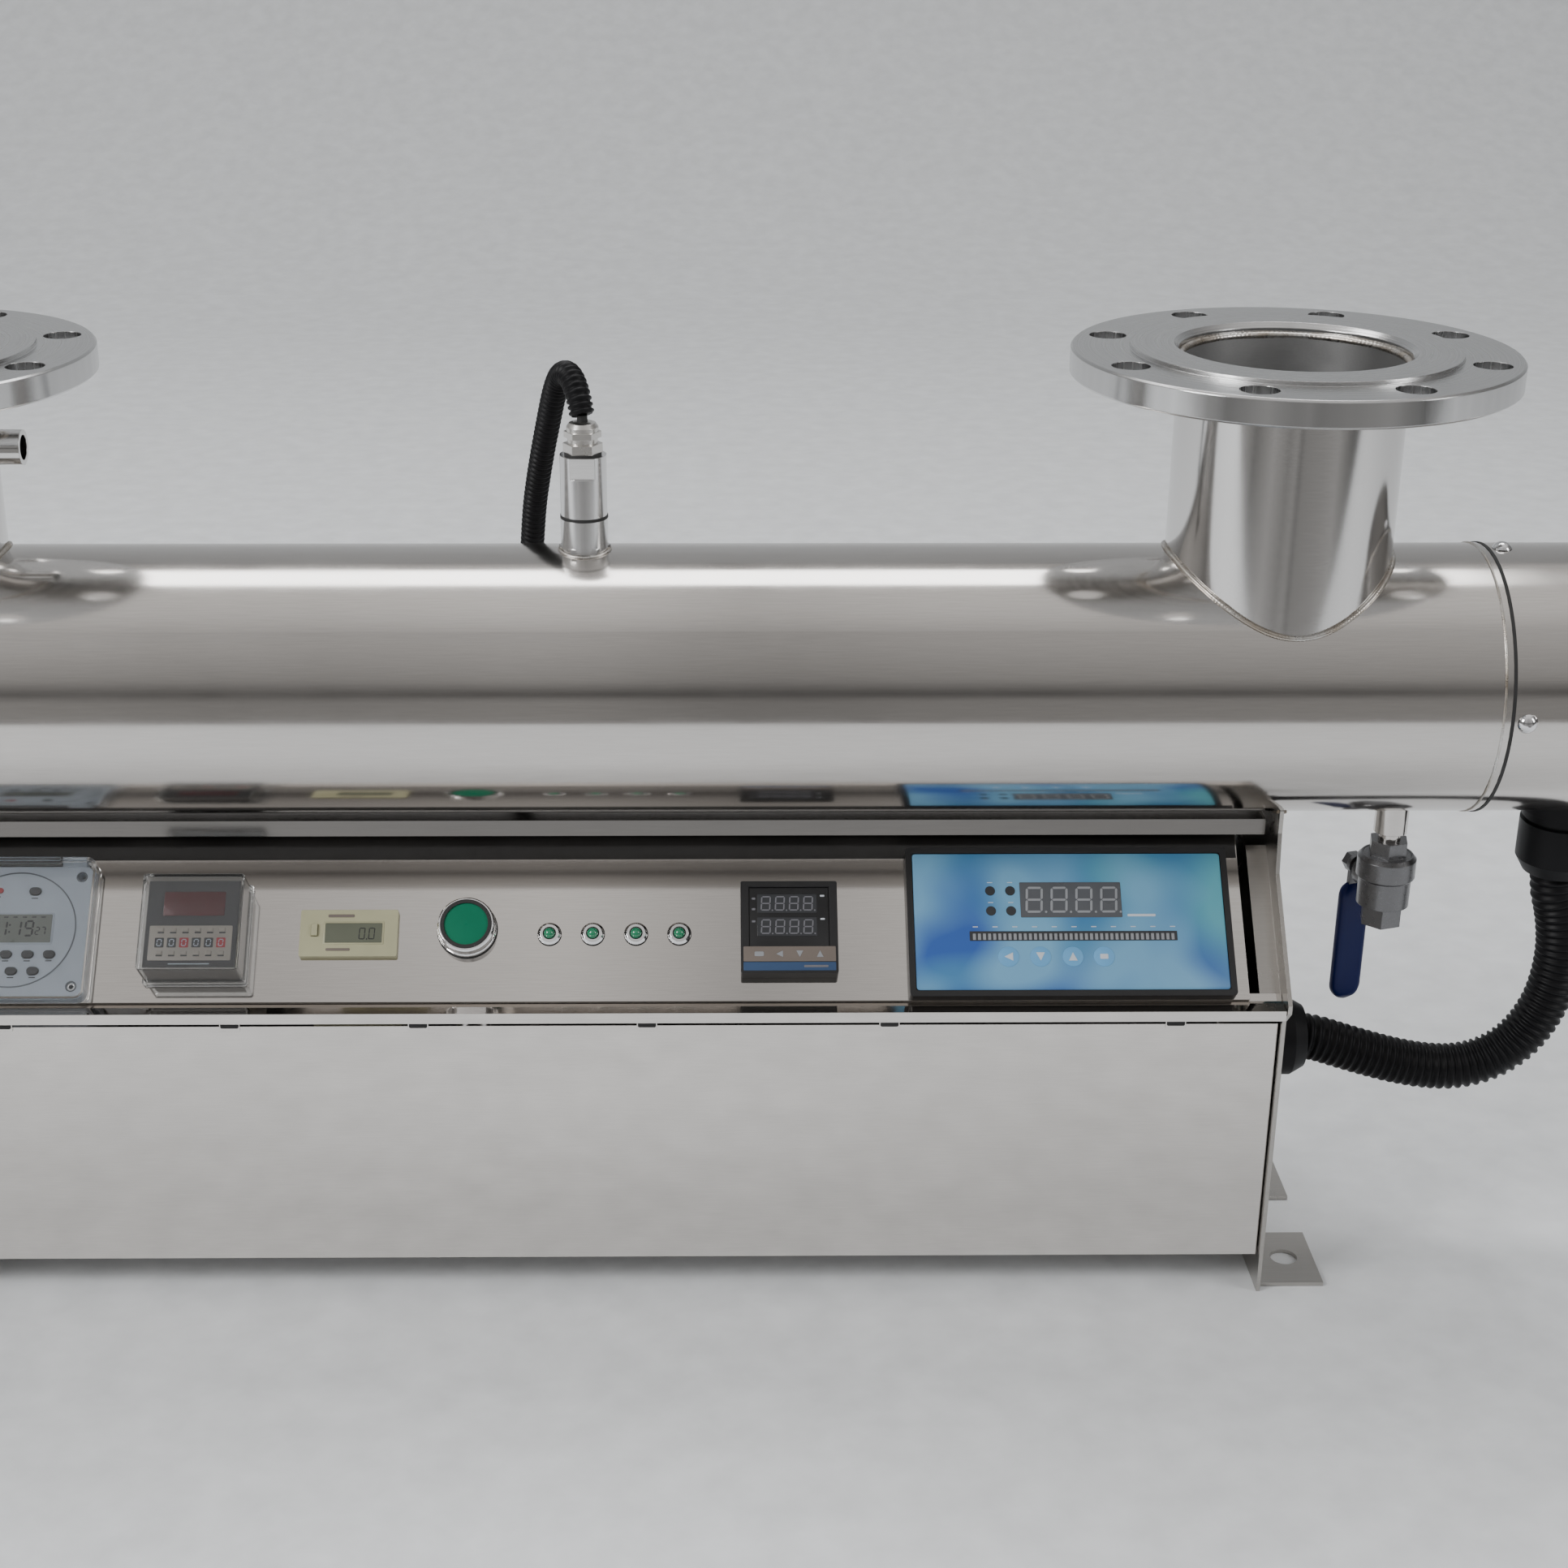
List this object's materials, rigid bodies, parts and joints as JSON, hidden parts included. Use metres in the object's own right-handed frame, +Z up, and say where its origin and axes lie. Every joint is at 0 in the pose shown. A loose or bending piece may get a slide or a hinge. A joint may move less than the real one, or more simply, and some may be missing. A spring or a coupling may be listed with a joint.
{
  "type": "ultraviolet water steriliser",
  "caption": "Stainless tube chamber with two upward flanged ports, quartz-sleeved UV lamps, light sensor and drain valve, on a cabinet with sloping instrument panel.",
  "frame": {"origin": "on the floor, under the middle of the assembly's bounding box, below the chamber's axis", "axes": "+X along the chamber towards the end with the drain valve, -Y the front with the instruments, +Z up"},
  "size_m": [1.0756, 0.2185, 0.478],
  "materials": {
    "steel": "polished stainless steel",
    "flange_steel": "turned stainless steel",
    "cabinet_steel": "mirror-polished stainless sheet",
    "valve_steel": "cast stainless steel, satin",
    "chrome": "plated, bright",
    "quartz": "clear quartz",
    "lamp_glass": "lamp tube",
    "ceramic": "white ceramic",
    "rubber": "black rubber",
    "black_plastic": "black nylon",
    "ptfe": "white PTFE",
    "blue_vinyl": "dark blue dipped vinyl",
    "ballast": "ballast case",
    "terminal": "grey plastic",
    "timer_grey": "light grey plastic",
    "key_grey": "dark grey keys",
    "clear": "clear polycarbonate",
    "relay_dark": "dark grey plastic",
    "cream": "cream plastic",
    "green": "green plastic",
    "instrument_black": "black ABS"
  },
  "bodies": {
    "root": {"chamber_tube": "steel", "port_necks": "steel", "port_flanges": "flange_steel", "tube_sheets": "steel", "baffle_plates": "steel", "quartz_sleeves": "quartz", "uv_lamps": "lamp_glass", "lamp_ends": "ceramic", "rubber_seals": "rubber", "sleeve_nuts": "steel", "end_caps": "steel", "end_cap_screws": "chrome", "sampling_nipple": "steel", "sensor_socket": "steel", "sensor_body": "steel", "sensor_window": "quartz", "sensor_gland": "chrome", "sensor_cable": "rubber", "sensor_conduit": "black_plastic", "drain_socket": "steel", "valve_body": "valve_steel", "valve_tailpiece": "valve_steel", "valve_seats": "ptfe", "conduit_glands": "black_plastic", "entry_glands": "black_plastic", "lamp_conduit": "black_plastic", "left_side_plate": "cabinet_steel", "right_side_plate": "cabinet_steel", "top_plate": "cabinet_steel", "front_rail": "cabinet_steel", "instrument_panel": "cabinet_steel", "front_cover": "cabinet_steel", "back_panel": "cabinet_steel", "base_plate": "cabinet_steel", "ballasts": "ballast", "terminal_block": "terminal", "timer_case": "timer_grey", "relay_case": "relay_dark", "hour_meter": "cream", "start_button_bezel": "chrome", "indicator_bezels": "chrome", "indicator_lenses": "green", "controller": "instrument_black", "monitor": "instrument_black"},
    "drain_handle": {"valve_ball": "chrome", "valve_stem": "valve_steel", "valve_handle": "valve_steel", "handle_sleeve": "blue_vinyl", "handle_nut": "valve_steel"},
    "start_button": {"start_button_cap": "green"},
    "reset_key": {"hour_reset_key": "cream"},
    "timer_lid": {"timer_cover": "clear"},
    "relay_lid": {"relay_cover": "clear"},
    "key_manual": {"timer_key_manual": "key_grey"},
    "key_program": {"timer_key_program": "key_grey"},
    "key_day": {"timer_key_day": "key_grey"},
    "key_hour": {"timer_key_hour": "key_grey"},
    "key_minute": {"timer_key_minute": "key_grey"},
    "key_clock": {"timer_key_clock": "key_grey"},
    "key_recall": {"timer_key_recall": "key_grey"}
  },
  "joints": [
    {"name": "drain_valve_turn", "type": "hinge", "parent": "root", "child": "drain_handle", "pos_m": [0.406, 0, 0.2], "axis": [0.309, -0.9511, 0], "range_deg": [0, 90]},
    {"name": "start_button_press", "type": "slide", "parent": "root", "child": "start_button", "axis": [0, 0.7071, -0.7071], "range_m": [0, 0.0035], "stiffness_N_per_m": 900},
    {"name": "hour_reset_press", "type": "slide", "parent": "root", "child": "reset_key", "axis": [0, 0.7071, -0.7071], "range_m": [0, 0.0008], "stiffness_N_per_m": 400},
    {"name": "timer_lid_hinge", "type": "hinge", "parent": "root", "child": "timer_lid", "pos_m": [-0.282, -0.01829, 0.22145], "axis": [1, 0, 0], "range_deg": [-70, 0]},
    {"name": "relay_cover_pull", "type": "slide", "parent": "root", "child": "relay_lid", "axis": [0, -0.7071, 0.7071], "range_m": [0, 0.03]},
    {"name": "timer_manual_press", "type": "slide", "parent": "root", "child": "key_manual", "axis": [0, 0.7071, -0.7071], "range_m": [0, 0.0008], "stiffness_N_per_m": 400},
    {"name": "timer_program_press", "type": "slide", "parent": "root", "child": "key_program", "axis": [0, 0.7071, -0.7071], "range_m": [0, 0.0008], "stiffness_N_per_m": 400},
    {"name": "timer_day_press", "type": "slide", "parent": "root", "child": "key_day", "axis": [0, 0.7071, -0.7071], "range_m": [0, 0.0008], "stiffness_N_per_m": 400},
    {"name": "timer_hour_press", "type": "slide", "parent": "root", "child": "key_hour", "axis": [0, 0.7071, -0.7071], "range_m": [0, 0.0008], "stiffness_N_per_m": 400},
    {"name": "timer_minute_press", "type": "slide", "parent": "root", "child": "key_minute", "axis": [0, 0.7071, -0.7071], "range_m": [0, 0.0008], "stiffness_N_per_m": 400},
    {"name": "timer_clock_press", "type": "slide", "parent": "root", "child": "key_clock", "axis": [0, 0.7071, -0.7071], "range_m": [0, 0.0008], "stiffness_N_per_m": 400},
    {"name": "timer_recall_press", "type": "slide", "parent": "root", "child": "key_recall", "axis": [0, 0.7071, -0.7071], "range_m": [0, 0.0008], "stiffness_N_per_m": 400}
  ]
}
